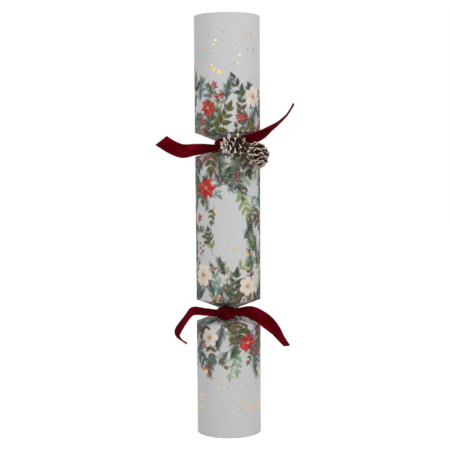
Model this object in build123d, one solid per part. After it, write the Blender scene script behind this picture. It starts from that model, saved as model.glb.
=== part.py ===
from build123d import *
import math
import os

# A 12 inch Christmas cracker standing on its lower mouth. All sizes in millimetres, +Z up.
# The axis is Z, the lower rim is at Z = 0 and the decorated front faces -Y.

# Printed card
OUTER_DIAMETER = 47.5
END_LENGTH = 83.0
BARREL_LENGTH = 104.0
CHOKE_HEIGHT = 17.5
CARD = 0.4
LAP_WIDTH = 12.0
LAP_SETBACK = 1.0

# Die-cut choke: tabs folded in to a narrow neck, with a slit between each two tabs
NECK_RADIUS = 6.0
NECK_BAND = 3.0
TAB_COUNT = 12
TAB_FACETS = 3
SLIT_WIDTH = 0.7
SLIT_ROOT = 2.5

# Stiff tubes glued inside the card
LINER_WALL = 0.6
GLUE_GAP = 0.1
LINER_SETBACK = 1.0

# Velvet ribbon
RIBBON_WIDTH = 10.0
RIBBON_THICKNESS = 1.0
LOOP_DEPTH = 2.2
RIBBON_CLEARANCE = 0.3
LOOP_CLEARANCE = 0.15
UPPER_KNOT_LENGTH = 11.0
UPPER_KNOT_HEIGHT = 8.2
LOWER_KNOT_LENGTH = 14.5
LOWER_KNOT_HEIGHT = 10.4
KNOT_DEPTH = 6.0
KNOT_CLEARANCE = 0.3
KNOT_BAND = 5.4
UPPER_KNOT_SIDE = -0.17
LOWER_KNOT_SIDE = -0.08
KNOT_SLANT = 62.0
KNOT_SIDES = 12
KNOT_RINGS = 5
LEAST_RISE = 0.3
UPPER_LEFT_CUT = -1.9
LOWER_RIGHT_CUT = 2.2

# Pine cones, their wire stems and the wire that ties them to the ribbon loop
CONE_LENGTH = 21.0
CONE_DIAMETER = 17.0
CORE_SIDES = 8
CORE_FOOT = 0.16
CORE_WAIST = 0.3
CORE_TIP = 0.14
CORE_WAIST_LEVEL = 0.35
CORE_TIP_LEVEL = 0.9
SCALE_COUNT = 36
SCALE_WIDTH = 7.4
SCALE_THICKNESS = 0.8
SCALE_NARROWING = 0.5
SCALE_OUTLINE = ((0.0, 0.13), (0.58, 0.37), (0.82, 0.44), (0.94, 0.3), (1.0, 0.1))
SCALE_ROOT = 0.1
SCALE_LOWEST = 0.1
SCALE_HIGHEST = 0.8
SCALE_OPEN_LEAN = 98.0
SCALE_CLOSED_LEAN = 26.0
GOLDEN_ANGLE = 137.508
WIRE_RADIUS = 0.4
PIVOT_CLEARANCE = 0.08
EYE_WALL = 0.5
EYE_LENGTH = 1.4
FRONT_STEM_LENGTH = 4.0
FRONT_EYE_BACK = 2.4
FRONT_CONE_OUTSET = 0.4
FRONT_CONE_AZIMUTH = -57.6
FRONT_CONE_LIFT = -0.1
FRONT_CONE_WAY = (-0.82, -0.57, -0.04)
SIDE_CONE_OUTSET = 3.4
SIDE_CONE_AZIMUTH = -40.8
SIDE_CONE_LIFT = -0.3
SIDE_CONE_WAY = (0.1, -0.66, -0.74)
SIDE_STEM_RUN = 5.0
SIDE_STEM_DROP = 0.8
SIDE_PIN_LENGTH = 3.0
TIE_RING_DROP = 2.0

# Snap: two strips that overlap in the barrel, held by a paper band
SNAP_THICKNESS = 0.5
SNAP_GAP = 0.6
SNAP_SETBACK = 2.0
SNAP_OVERLAP = 50.0
SNAP_CLEARANCE = 0.2
SNAP_STUB = 7.0
DAB_LENGTH = 16.0
DAB_THICKNESS = 0.2
DAB_MARGIN = 1.5
BAND_LENGTH = 30.0
BAND_WALL = 0.3
BAND_CLEARANCE = 0.15

# Contents
CONTENT_CLEARANCE = 0.4
CROWN_LENGTH = 62.0
CROWN_CORE = 3.0
CROWN_LAYER = 2.2
CROWN_PITCH = 2.7
CROWN_TURNS = 2
MOTTO_LENGTH = 55.0
MOTTO_CORE = 2.4
MOTTO_LAYER = 0.8
MOTTO_PITCH = 1.2
MOTTO_TURNS = 1
MOTTO_SIDE = 9.0
TOP_SIDES = 8
TOP_RADIUS = 10.0
TOP_RIM = 2.0
TOP_SHOULDER = 4.5
TOP_COLLAR = 4.0
TOP_TIP = 9.0
TOP_STEM = 11.0
TOP_STEM_RADIUS = 1.6
TOP_TIP_RADIUS = 0.8

# Derived sizes
R = OUTER_DIAMETER / 2
TOTAL = 2 * END_LENGTH + 2 * CHOKE_HEIGHT + BARREL_LENGTH
RISE = (CHOKE_HEIGHT - CARD - NECK_BAND) / 2
RUN = R - NECK_RADIUS
FOLD = RISE / RUN
LINER_OUTER = R - CARD - GLUE_GAP
LOWER_NECK = END_LENGTH + (CHOKE_HEIGHT - CARD) / 2
UPPER_NECK = TOTAL - LOWER_NECK
BARREL_FOOT = END_LENGTH + CHOKE_HEIGHT
BARREL_HEAD = BARREL_FOOT + BARREL_LENGTH
LOOP_INNER = NECK_RADIUS + LOOP_CLEARANCE
LOOP_OUTER = LOOP_INNER + LOOP_DEPTH
TIE_RING = LOOP_OUTER + WIRE_RADIUS + LOOP_CLEARANCE


def polar(radius, degrees, height=0.0):
    """Point at a radius and azimuth about the axis, at a height."""
    turn = math.radians(degrees)
    return Vector(radius * math.cos(turn), radius * math.sin(turn), height)


def ring(radius, height, sides):
    """Corners of a flat ring about the axis."""
    return [polar(radius, 360 * k / sides, height) for k in range(sides)]


def faceted(rings):
    """Closed solid through rings of points, with flat faces. A bent four-sided face is creased into two,
    along the same diagonal on opposite sides, so that a twisted strip keeps its thickness."""
    faces = [Face(Wire.make_polygon(cap)) for cap in (rings[0], rings[-1])]
    for near, far in zip(rings, rings[1:]):
        for k in range(len(near)):
            a, b, c, d = near[k - 1], near[k], far[k], far[k - 1]
            bend = (b - a).cross(c - a).dot(d - a)
            flat = math.isclose(bend, 0, abs_tol=1e-6)
            if flat:
                patches = [(a, b, c, d)]
            elif k < len(near) / 2:
                patches = [(a, b, c), (a, c, d)]
            else:
                patches = [(a, b, d), (b, c, d)]
            faces += [Face(Wire.make_polygon(corners)) for corners in patches]
    return Solid(Shell(faces))


def lap_seam(length):
    """The overlapping edge of the rolled card, along the back."""
    half = math.degrees(LAP_WIDTH / R) / 2
    inner = [polar(R - CARD / 2, 90 + side * half) for side in (-1, 0, 1)]
    outer = [polar(R + CARD, 90 + side * half) for side in (-1, 0, 1)]
    edges = [ThreePointArc(*inner), Line(inner[2], outer[2])]
    edges += [ThreePointArc(*outer[::-1]), Line(outer[0], inner[0])]
    return extrude(make_face(edges), length)


def end_sleeve():
    """Card end with its mouth at Z = 0 and its folded choke above, up to the barrel's edge."""
    fold_top = END_LENGTH + RISE
    neck_top = fold_top + NECK_BAND
    rim_top = END_LENGTH + CHOKE_HEIGHT
    hole = NECK_RADIUS - CARD
    crease = R - CARD / 4
    sides = TAB_COUNT * TAB_FACETS
    folds = faceted([
        ring(crease, END_LENGTH, sides),
        ring(NECK_RADIUS, fold_top, sides),
        ring(NECK_RADIUS, neck_top, sides),
        ring(crease, rim_top - CARD, sides),
        ring(crease, rim_top, sides),
    ])
    # The inside follows the same folds one card thickness in
    inside = faceted([
        ring(R - CARD, END_LENGTH - CARD * (1 - FOLD), sides),
        ring(hole, END_LENGTH + (R - hole) * FOLD - CARD, sides),
        ring(hole, rim_top - (R - hole) * FOLD, sides),
        ring(crease - CARD / 2, rim_top, sides),
    ])
    sleeve = tube(R, CARD, END_LENGTH) + (folds - inside)
    # Slits between the tabs, widest at the neck
    slit_face = make_face(Polyline(
        (NECK_RADIUS - 2 * CARD, SLIT_WIDTH / 2),
        (R - SLIT_ROOT, 0),
        (NECK_RADIUS - 2 * CARD, -SLIT_WIDTH / 2),
        close=True,
    ))
    slit = Pos(0, 0, END_LENGTH) * extrude(slit_face, CHOKE_HEIGHT)
    step = 360 / TAB_COUNT
    sleeve -= [Rot(0, 0, (k + 0.5) * step) * slit for k in range(TAB_COUNT)]
    return sleeve + lap_seam(END_LENGTH - LAP_SETBACK)


def tube(outer_radius, wall, length):
    """Plain tube with its foot at Z = 0."""
    body = Cylinder(outer_radius, length) - Cylinder(outer_radius - wall, length)
    return Pos(0, 0, length / 2) * body


def turned_over(shape):
    """The same piece at the top of the cracker, with its seam still at the back."""
    return Pos(0, 0, TOTAL) * Rot(0, 180, 0) * shape


def groove_half(radius):
    """Half the height of the open groove between the two folded faces, at a radius."""
    return NECK_BAND / 2 + max(0.0, radius - NECK_RADIUS) * FOLD


def ribbon_loop():
    """Gathered turn of ribbon round the neck, filling the bottom of the groove."""
    height = 2 * (groove_half(LOOP_INNER) - LOOP_CLEARANCE)
    return Pos(0, 0, -height / 2) * tube(LOOP_OUTER, LOOP_DEPTH, height)


def knot_seat(height):
    """How far out the back of a knot lies when it is drawn in until it meets both folds."""
    half_depth = KNOT_DEPTH / 2 + RIBBON_THICKNESS
    support = math.hypot(height / 2, FOLD * half_depth) + KNOT_CLEARANCE
    return NECK_RADIUS + (support - NECK_BAND / 2) / FOLD - half_depth


def pillow(length, height, depth):
    """Closed pillow with an oval outline in XZ, through rings that shrink towards its front and back."""
    rings = []
    for k in range(KNOT_RINGS):
        turn = math.pi * (k + 0.5) / KNOT_RINGS
        size = math.sin(turn)
        rings.append([
            Vector(
                size * length / 2 * math.cos(2 * math.pi * j / KNOT_SIDES),
                depth / 2 * math.cos(turn),
                size * height / 2 * math.sin(2 * math.pi * j / KNOT_SIDES),
            )
            for j in range(KNOT_SIDES)
        ])
    return faceted(rings)


def ribbon_knot(length, height, side, front):
    """Rounded knot across the front of the loop, with the crossing turn of ribbon over it."""
    body = pillow(length, height, KNOT_DEPTH)
    crossing = pillow(height, KNOT_BAND, KNOT_DEPTH + 2 * RIBBON_THICKNESS)
    crossing = Rot(0, KNOT_SLANT, 0) * crossing
    return Pos(side, -front - KNOT_DEPTH / 2 - RIBBON_THICKNESS, 0) * (body + crossing)


def ribbon_tail(stations, cut=0.0):
    """Strip of ribbon through stations (x, y, z, lean, spread). Lean turns its width into the depth, and
    spread is the share of its width that isn't gathered into the knot. Where its end is cut on the slant,
    cut is how much longer its upper edge is than its middle."""
    points = [Vector(x, y, z) for x, y, z, lean, spread in stations]
    rings = []
    for k, (x, y, z, lean, spread) in enumerate(stations):
        run = points[min(k + 1, len(points) - 1)] - points[max(k - 1, 0)]
        across = Vector(-run.Z, 0, run.X).normalized()
        if across.Z < 0 and k == 0:
            across = across * -1
        if rings and across.dot(previous) < 0:
            across = across * -1
        previous = across
        turn = math.radians(lean)
        width_way = across * math.cos(turn) + Vector(0, math.sin(turn), 0)
        # Inside the groove the ribbon is gathered to the height that is left between the folds
        radius = math.hypot(x, y)
        width = RIBBON_WIDTH * spread
        if radius < R:
            room = groove_half(radius) - abs(z) - RIBBON_CLEARANCE
            width = min(width, 2 * room / max(LEAST_RISE, abs(width_way.Z)))
        half = width_way.normalized() * (width / 2)
        if k == len(points) - 1:
            half += run.normalized() * cut
        skin = run.cross(width_way).normalized() * (RIBBON_THICKNESS / 2)
        near = points[k] - skin
        far = points[k] + skin
        rings.append([near - half, near + half, far + half, far - half])
    return faceted(rings)


def pine_cone():
    """Cone with its base at Z = 0 and its tip up: spiral scales that end on one egg-shaped outline."""
    girth = CONE_DIAMETER / 2
    middle = CONE_LENGTH / 2
    core_levels = (
        (0, CORE_FOOT * girth),
        (CORE_WAIST_LEVEL * CONE_LENGTH, CORE_WAIST * girth),
        (CORE_TIP_LEVEL * CONE_LENGTH, CORE_TIP * girth),
    )
    core = faceted([ring(width, level, CORE_SIDES) for level, width in core_levels])
    scales = []
    for k in range(SCALE_COUNT):
        share = (k + 0.5) / SCALE_COUNT
        azimuth = k * GOLDEN_ANGLE
        lean = math.radians(SCALE_OPEN_LEAN + (SCALE_CLOSED_LEAN - SCALE_OPEN_LEAN) * share)
        start = SCALE_ROOT * girth
        level = CONE_LENGTH * (SCALE_LOWEST + (SCALE_HIGHEST - SCALE_LOWEST) * share) - middle
        # Length of the scale from its root to the egg-shaped outline
        square = (math.sin(lean) / girth) ** 2 + (math.cos(lean) / middle) ** 2
        mixed = start * math.sin(lean) / girth ** 2 + level * math.cos(lean) / middle ** 2
        rest = (start / girth) ** 2 + (level / middle) ** 2 - 1
        reach = (-mixed + math.sqrt(mixed ** 2 - square * rest)) / square - SCALE_THICKNESS / 2
        width = SCALE_WIDTH * (1 - SCALE_NARROWING * share)
        out = polar(math.sin(lean), azimuth, math.cos(lean))
        beside = polar(1, azimuth + 90)
        root = polar(start, azimuth, level + middle)
        seat = Plane(origin=root, x_dir=out, z_dir=out.cross(beside))
        edge = [(along * reach, across * width) for along, across in SCALE_OUTLINE]
        mirrored = [(along, -across) for along, across in reversed(edge)]
        outline = Polyline(*edge, *mirrored, close=True)
        plate = extrude(make_face(outline), SCALE_THICKNESS / 2, both=True)
        scales.append(seat * plate)
    return core.fuse(*scales)


def rod(start, end, radius):
    """Straight round wire between two points."""
    way = end - start
    return Plane(origin=start, z_dir=way) * extrude(Circle(radius), way.length)


def eye(centre, way):
    """Tight turns of wire round a pivot, with running clearance on a wire of the same gauge."""
    inner = WIRE_RADIUS + PIVOT_CLEARANCE
    wound = Cylinder(inner + EYE_WALL, EYE_LENGTH) - Cylinder(inner, EYE_LENGTH)
    return Plane(origin=centre, z_dir=way) * wound


def paper_roll(core, layer, pitch, turns, length):
    """Strip of paper rolled up in half turns, with its foot at Z = 0."""
    near = []
    far = []
    for k in range(2 * turns):
        side = 1 if k % 2 == 0 else -1
        middle = 0 if k % 2 == 0 else pitch / 2
        radius = core + k * pitch / 2
        for edges, r in ((near, radius), (far, radius + layer)):
            start = (middle + side * r, 0)
            top = (middle, side * r)
            stop = (middle - side * r, 0)
            edges.append(ThreePointArc(start, top, stop))
    caps = [Line(near[0] @ 0, far[0] @ 0), Line(near[-1] @ 1, far[-1] @ 1)]
    return extrude(make_face(near + far + caps), length)


def roll_radius(core, layer, pitch, turns):
    """Outer radius of such a roll."""
    return core + turns * pitch + layer


def funnel_floor(reach):
    """Height at which a flat-ended roll that reaches to a radius stands on the lower choke's folds."""
    return BARREL_FOOT - (R - reach) * FOLD + LOOP_CLEARANCE


parts = {}

# Card and tubes
end = end_sleeve()
end_liner = Pos(0, 0, LINER_SETBACK) * tube(LINER_OUTER, LINER_WALL, END_LENGTH - 2 * LINER_SETBACK)
parts["lower_end_sleeve"] = end
parts["upper_end_sleeve"] = turned_over(end)
parts["lower_end_tube"] = end_liner
parts["upper_end_tube"] = turned_over(end_liner)
barrel = tube(R, CARD, BARREL_LENGTH) + Pos(0, 0, LAP_SETBACK) * lap_seam(BARREL_LENGTH - 2 * LAP_SETBACK)
parts["barrel_sleeve"] = Pos(0, 0, BARREL_FOOT) * barrel
barrel_liner = tube(LINER_OUTER, LINER_WALL, BARREL_LENGTH - 2 * LINER_SETBACK)
parts["barrel_tube"] = Pos(0, 0, BARREL_FOOT + LINER_SETBACK) * barrel_liner

# Ribbons. Stations are in parts of the tube's radius R and in ribbon widths W from its rim
W = RIBBON_WIDTH
upper = Pos(0, 0, UPPER_NECK)
lower = Pos(0, 0, LOWER_NECK)
upper_front = max(TIE_RING + WIRE_RADIUS + KNOT_CLEARANCE, knot_seat(UPPER_KNOT_HEIGHT))
lower_front = max(LOOP_OUTER + KNOT_CLEARANCE, knot_seat(LOWER_KNOT_HEIGHT))
upper_side = UPPER_KNOT_SIDE * R
lower_side = LOWER_KNOT_SIDE * R
upper_knot = ribbon_knot(UPPER_KNOT_LENGTH, UPPER_KNOT_HEIGHT, upper_side, upper_front)
lower_knot = ribbon_knot(LOWER_KNOT_LENGTH, LOWER_KNOT_HEIGHT, lower_side, lower_front)
parts["upper_ribbon_loop"] = upper * ribbon_loop()
parts["lower_ribbon_loop"] = lower * ribbon_loop()
parts["upper_ribbon_knot"] = upper * upper_knot
parts["lower_ribbon_knot"] = lower * lower_knot
upper_reach = UPPER_KNOT_LENGTH / 2 + RIBBON_CLEARANCE
lower_reach = LOWER_KNOT_LENGTH / 2 + RIBBON_CLEARANCE
upper_depth = -upper_front - KNOT_DEPTH / 2 - RIBBON_THICKNESS
lower_depth = -lower_front - KNOT_DEPTH / 2 - RIBBON_THICKNESS
upper_left = [
    (upper_side - upper_reach, upper_depth, -0.25 * W, 0, 0.5),
    (-0.72 * R, upper_depth, -0.3 * W, 0, 0.72),
    (-R, upper_depth, -0.37 * W, 0, 0.85),
    (-R - 0.85 * W, upper_depth, -0.46 * W, 0, 1),
    (-R - 1.6 * W, upper_depth - 0.1 * W, -0.19 * W, 0, 1),
    (-R - 2.38 * W, upper_depth - 0.25 * W, 0.3 * W, 0, 1),
]
upper_right = [
    (upper_side + upper_reach, upper_depth, 0.08 * W, -12, 0.5),
    (0.45 * R, upper_depth, 0.33 * W, -20, 0.58),
    (0.76 * R, upper_depth, 0.44 * W, -32, 0.85),
    (R + 0.1 * W, upper_depth, 0.72 * W, -50, 1),
    (R + 0.65 * W, upper_depth, 1.1 * W, -66, 1),
    (R + 1.3 * W, upper_depth, 1.54 * W, -78, 1),
    (R + 1.9 * W, upper_depth, 2.1 * W, -82, 1),
    (R + 2.36 * W, upper_depth, 2.84 * W, -80, 1),
]
lower_left = [
    (lower_side - lower_reach, lower_depth, 0.04 * W, 58, 0.8),
    (-0.72 * R, lower_depth, 0.12 * W, 62, 0.92),
    (-R - 0.22 * W, lower_depth, 0.18 * W, 60, 1),
    (-R - 0.72 * W, lower_depth - 0.05 * W, -0.34 * W, 68, 1),
    (-R - 1.36 * W, lower_depth - 0.1 * W, -1.28 * W, 60, 1),
    (-R - 1.3 * W, lower_depth - 0.15 * W, -1.74 * W, 68, 1),
    (-R - 0.7 * W, lower_depth - 0.2 * W, -2.2 * W, 84, 1),
]
lower_right = [
    (lower_side + lower_reach, lower_depth, 0.08 * W, 0, 0.55),
    (0.66 * R, lower_depth - 0.1 * W, 0.08 * W, 0, 0.9),
    (R + 0.1 * W, lower_depth - 0.2 * W, -0.38 * W, 0, 1),
    (R + 0.96 * W, lower_depth - 0.2 * W, -1.2 * W, 40, 1),
    (R + 1.42 * W, lower_depth - 0.2 * W, -1.86 * W, 62, 1),
    (R + 1.84 * W, lower_depth - 0.2 * W, -2.42 * W, 72, 1),
]
parts["upper_ribbon_left_tail"] = upper * ribbon_tail(upper_left, UPPER_LEFT_CUT)
parts["upper_ribbon_right_tail"] = upper * ribbon_tail(upper_right)
parts["lower_ribbon_left_tail"] = lower * ribbon_tail(lower_left)
parts["lower_ribbon_right_tail"] = lower * ribbon_tail(lower_right, LOWER_RIGHT_CUT)

# Pine cones on the wire tie
front_way = Vector(*FRONT_CONE_WAY).normalized()
front_base = polar(R + FRONT_CONE_OUTSET, FRONT_CONE_AZIMUTH, UPPER_NECK + FRONT_CONE_LIFT)
side_way = Vector(*SIDE_CONE_WAY).normalized()
side_base = polar(R + SIDE_CONE_OUTSET, SIDE_CONE_AZIMUTH, UPPER_NECK + SIDE_CONE_LIFT)
cone = pine_cone()
parts["front_pine_cone"] = Plane(origin=front_base, z_dir=front_way) * cone
parts["side_pine_cone"] = Plane(origin=side_base, z_dir=side_way) * cone
parts["front_cone_stem"] = rod(front_base - front_way * FRONT_STEM_LENGTH, front_base, WIRE_RADIUS)
front_eye = front_base - front_way * FRONT_EYE_BACK
side_inward = polar(-SIDE_STEM_RUN, SIDE_CONE_AZIMUTH, -SIDE_STEM_DROP)
side_pivot = side_base + side_inward
side_tangent = polar(1, SIDE_CONE_AZIMUTH + 90)
stem_way = (side_base - side_pivot).normalized()
eye_middle = WIRE_RADIUS + PIVOT_CLEARANCE + EYE_WALL / 2
stem_root = side_pivot + stem_way * eye_middle
stem_tilt = math.radians(stem_way.get_angle(side_way))
stem_gap = (WIRE_RADIUS * math.sin(stem_tilt) + LOOP_CLEARANCE) / math.cos(stem_tilt)
side_stem = rod(stem_root, side_base - stem_way * stem_gap, WIRE_RADIUS)
parts["side_cone_stem"] = side_stem + eye(side_pivot, side_tangent)
ring_height = UPPER_NECK - TIE_RING_DROP
wire_width = 2 * WIRE_RADIUS
tie = Pos(0, 0, ring_height - WIRE_RADIUS) * tube(TIE_RING + WIRE_RADIUS, wire_width, wire_width)
tie += eye(front_eye, front_way)
front_turn = math.degrees(math.atan2(front_eye.Y, front_eye.X))
front_start = polar(TIE_RING, front_turn, ring_height)
front_arm = (front_eye - front_start).normalized()
tie += rod(front_start, front_eye - front_arm * eye_middle, WIRE_RADIUS)
pin_half = side_tangent * (SIDE_PIN_LENGTH / 2)
tie += rod(side_pivot - pin_half, side_pivot + pin_half, WIRE_RADIUS)
side_start = polar(TIE_RING, SIDE_CONE_AZIMUTH, ring_height)
side_end = side_pivot + pin_half
tie += rod(side_start, side_end, WIRE_RADIUS)
parts["cone_tie_wire"] = tie

# Snap
hole = NECK_RADIUS - CARD
snap_back = SNAP_SETBACK + SNAP_GAP / 2 + SNAP_THICKNESS
snap_width = 2 * math.sqrt((hole - SNAP_CLEARANCE) ** 2 - snap_back ** 2)
middle = (BARREL_FOOT + BARREL_HEAD) / 2
lower_from = LOWER_NECK - SNAP_STUB
lower_to = middle + SNAP_OVERLAP / 2
upper_from = middle - SNAP_OVERLAP / 2
upper_to = UPPER_NECK + SNAP_STUB


def strip(width, thickness, low, high, depth):
    """Flat strip of card along the axis, its middle plane at a depth."""
    return Pos(0, depth, (low + high) / 2) * Box(width, thickness, high - low)


upper_plane = SNAP_SETBACK + (SNAP_GAP + SNAP_THICKNESS) / 2
lower_plane = SNAP_SETBACK - (SNAP_GAP + SNAP_THICKNESS) / 2
dab_depth = (SNAP_GAP - DAB_THICKNESS) / 2
dab_width = snap_width - 2 * DAB_MARGIN
dab_low = middle - DAB_LENGTH / 2
dab_high = middle + DAB_LENGTH / 2
parts["snap_upper_strip"] = strip(snap_width, SNAP_THICKNESS, upper_from, upper_to, upper_plane)
parts["snap_lower_strip"] = strip(snap_width, SNAP_THICKNESS, lower_from, lower_to, lower_plane)
parts["snap_charge"] = strip(dab_width, DAB_THICKNESS, dab_low, dab_high, SNAP_SETBACK + dab_depth)
parts["snap_striker"] = strip(dab_width, DAB_THICKNESS, dab_low, dab_high, SNAP_SETBACK - dab_depth)
band_low = middle - BAND_LENGTH / 2
band_high = middle + BAND_LENGTH / 2
stack = SNAP_GAP + 2 * SNAP_THICKNESS + 2 * BAND_CLEARANCE
band_inside = strip(snap_width + 2 * BAND_CLEARANCE, stack, band_low, band_high, SNAP_SETBACK)
band_width = snap_width + 2 * BAND_CLEARANCE + 2 * BAND_WALL
band_outside = strip(band_width, stack + 2 * BAND_WALL, band_low, band_high, SNAP_SETBACK)
parts["snap_band"] = band_outside - band_inside

# Contents, standing on the lower choke's inner faces
band_front = SNAP_SETBACK - stack / 2 - BAND_WALL
band_rear = SNAP_SETBACK + stack / 2 + BAND_WALL
crown_radius = roll_radius(CROWN_CORE, CROWN_LAYER, CROWN_PITCH, CROWN_TURNS)
crown_depth = band_front - CONTENT_CLEARANCE - crown_radius
crown_floor = funnel_floor(abs(crown_depth) + crown_radius)
crown = paper_roll(CROWN_CORE, CROWN_LAYER, CROWN_PITCH, CROWN_TURNS, CROWN_LENGTH)
parts["paper_crown"] = Pos(0, crown_depth, crown_floor) * crown
motto_radius = roll_radius(MOTTO_CORE, MOTTO_LAYER, MOTTO_PITCH, MOTTO_TURNS)
motto_depth = band_rear + CONTENT_CLEARANCE + motto_radius
motto_floor = funnel_floor(math.hypot(MOTTO_SIDE, motto_depth) + motto_radius)
motto = paper_roll(MOTTO_CORE, MOTTO_LAYER, MOTTO_PITCH, MOTTO_TURNS, MOTTO_LENGTH)
parts["motto_slip"] = Pos(-MOTTO_SIDE, motto_depth, motto_floor) * motto

# Eight-sided spinning top, its point in the core of the rolled crown
tip_slope = (TOP_RADIUS - TOP_TIP_RADIUS) / TOP_TIP
sink = (CROWN_CORE - LOOP_CLEARANCE - TOP_TIP_RADIUS) / tip_slope
top_rim = TOP_TIP + TOP_RIM
top_shoulder = top_rim + TOP_SHOULDER
top = faceted([
    ring(TOP_TIP_RADIUS, 0, TOP_SIDES),
    ring(TOP_RADIUS, TOP_TIP, TOP_SIDES),
    ring(TOP_RADIUS, top_rim, TOP_SIDES),
    ring(TOP_COLLAR, top_shoulder, TOP_SIDES),
])
top += rod(Vector(0, 0, top_shoulder), Vector(0, 0, top_shoulder + TOP_STEM), TOP_STEM_RADIUS)
top_level = crown_floor + CROWN_LENGTH - sink
parts["spinning_top"] = Pos(0, crown_depth, top_level) * top

os.makedirs("parts", exist_ok=True)
for name, shape in parts.items():
    export_step(shape, f"parts/{name}.step")
    box = shape.bounding_box()
    print(name, len(shape.solids()), "solid", round(shape.volume, 1), "mm3", box.min, box.max)
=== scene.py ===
import math
from functools import partial

import bmesh
import bpy
import numpy as np
from mathutils import Matrix, Vector


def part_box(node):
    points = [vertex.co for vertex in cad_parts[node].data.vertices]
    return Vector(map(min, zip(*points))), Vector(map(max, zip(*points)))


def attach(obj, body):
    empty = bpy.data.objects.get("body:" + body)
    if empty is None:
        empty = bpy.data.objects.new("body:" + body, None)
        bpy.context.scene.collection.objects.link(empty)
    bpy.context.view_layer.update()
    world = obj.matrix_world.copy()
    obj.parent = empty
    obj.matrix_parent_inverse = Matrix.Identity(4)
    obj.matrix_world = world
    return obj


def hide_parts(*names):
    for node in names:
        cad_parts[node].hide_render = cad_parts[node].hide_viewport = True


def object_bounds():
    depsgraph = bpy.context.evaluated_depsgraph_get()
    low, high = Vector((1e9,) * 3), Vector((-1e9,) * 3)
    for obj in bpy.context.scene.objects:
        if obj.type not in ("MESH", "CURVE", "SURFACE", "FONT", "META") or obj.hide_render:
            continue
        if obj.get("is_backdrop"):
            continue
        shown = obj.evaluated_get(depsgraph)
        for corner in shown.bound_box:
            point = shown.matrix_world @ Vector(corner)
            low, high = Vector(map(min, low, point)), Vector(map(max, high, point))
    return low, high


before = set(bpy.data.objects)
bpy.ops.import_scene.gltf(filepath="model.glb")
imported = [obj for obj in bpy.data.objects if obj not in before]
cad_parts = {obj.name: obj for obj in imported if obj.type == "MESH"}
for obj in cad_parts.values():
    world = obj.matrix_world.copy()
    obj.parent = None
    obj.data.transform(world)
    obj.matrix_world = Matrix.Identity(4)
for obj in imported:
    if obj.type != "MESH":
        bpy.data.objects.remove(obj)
cad_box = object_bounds()
SHEET_SEED = 24
rng = np.random.default_rng(SHEET_SEED)

# Sizes of the CAD part, in millimetres and degrees
MM = 0.001
R = 23.75
END_LENGTH = 83.0
BARREL_LENGTH = 104.0
CHOKE_HEIGHT = 17.5
CARD = 0.4
LAP_WIDTH = 12.0
LAP_SETBACK = 1.0
NECK_RADIUS = 6.0
NECK_BAND = 3.0
TAB_COUNT = 12
SLIT_WIDTH = 0.7
SLIT_ROOT = 2.5
W = 10.0
RIBBON_THICKNESS = 1.0
RIBBON_CLEARANCE = 0.3
LEAST_RISE = 0.3
LOOP_INNER = 6.15
LOOP_OUTER = 8.35
UPPER_KNOT_LENGTH = 11.0
UPPER_KNOT_HEIGHT = 8.2
LOWER_KNOT_LENGTH = 14.5
LOWER_KNOT_HEIGHT = 10.4
KNOT_DEPTH = 6.0
KNOT_CLEARANCE = 0.3
KNOT_BAND = 5.4
KNOT_SLANT = 62.0
UPPER_KNOT_SIDE = -0.17 * R
LOWER_KNOT_SIDE = -0.08 * R
CONE_LENGTH = 21.0
CONE_DIAMETER = 17.0
SCALE_COUNT = 36
SCALE_WIDTH = 7.4
SCALE_NARROWING = 0.5
SCALE_OPEN_LEAN = 98.0
SCALE_CLOSED_LEAN = 26.0
GOLDEN_ANGLE = 137.508
FRONT_CONE_OUTSET = 0.4
FRONT_CONE_AZIMUTH = -57.6
FRONT_CONE_DROP = 0.1
SIDE_CONE_OUTSET = 3.4
SIDE_CONE_AZIMUTH = -40.8
SIDE_CONE_DROP = 0.3

TOTAL = 2 * END_LENGTH + 2 * CHOKE_HEIGHT + BARREL_LENGTH
RISE = (CHOKE_HEIGHT - CARD - NECK_BAND) / 2
FOLD = RISE / (R - NECK_RADIUS)
LOWER_NECK = END_LENGTH + (CHOKE_HEIGHT - CARD) / 2
UPPER_NECK = TOTAL - LOWER_NECK
BARREL_FOOT = END_LENGTH + CHOKE_HEIGHT
BARREL_HEAD = BARREL_FOOT + BARREL_LENGTH

# Mesh density of the printed card, in millimetres and columns a tab
GRID = 0.5
TAB_COLUMNS = 25


# Colour and mesh helpers

def srgb(code):
    """Linear colour of a hex code."""
    values = [int(code[k:k + 2], 16) / 255 for k in (1, 3, 5)]
    return np.array([v / 12.92 if v < 0.04045 else ((v + 0.055) / 1.055) ** 2.4 for v in values])


def smooth(value, low, high):
    """0 below low, 1 above high and an easy curve between."""
    t = np.clip((value - low) / (high - low), 0, 1)
    return t * t * (3 - 2 * t)


def grid_faces(rows, columns, wrap=False):
    """Quads of a grid of points, as an array of corner numbers."""
    i = np.arange(rows - 1)[:, None]
    j = np.arange(columns if wrap else columns - 1)[None, :]
    k = (j + 1) % columns
    quads = [i * columns + j, i * columns + k, (i + 1) * columns + k, (i + 1) * columns + j]
    return np.stack(np.broadcast_arrays(*quads), -1).reshape(-1, 4)


def unit(vectors):
    """Rows of vectors, each of length 1."""
    return vectors / np.linalg.norm(vectors, axis=1)[:, None]


def polar(radius, turn, height):
    """Points at a radius, a turn about the axis and a height."""
    return np.stack(np.broadcast_arrays(radius * np.cos(turn), radius * np.sin(turn), height), -1)


def slab(centre, normal, half):
    """Rings round a strip of points: its front, and then its back the other way."""
    lift = normal * np.broadcast_to(half, centre.shape[:2])[..., None]
    return np.concatenate([centre + lift, (centre - lift)[:, ::-1]], 1)


def thicken(piece, thickness):
    """Gives a single sheet its thickness, half to each side."""
    skin = piece.modifiers.new("thickness", "SOLIDIFY")
    skin.thickness = thickness * MM
    skin.offset = 0


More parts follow.
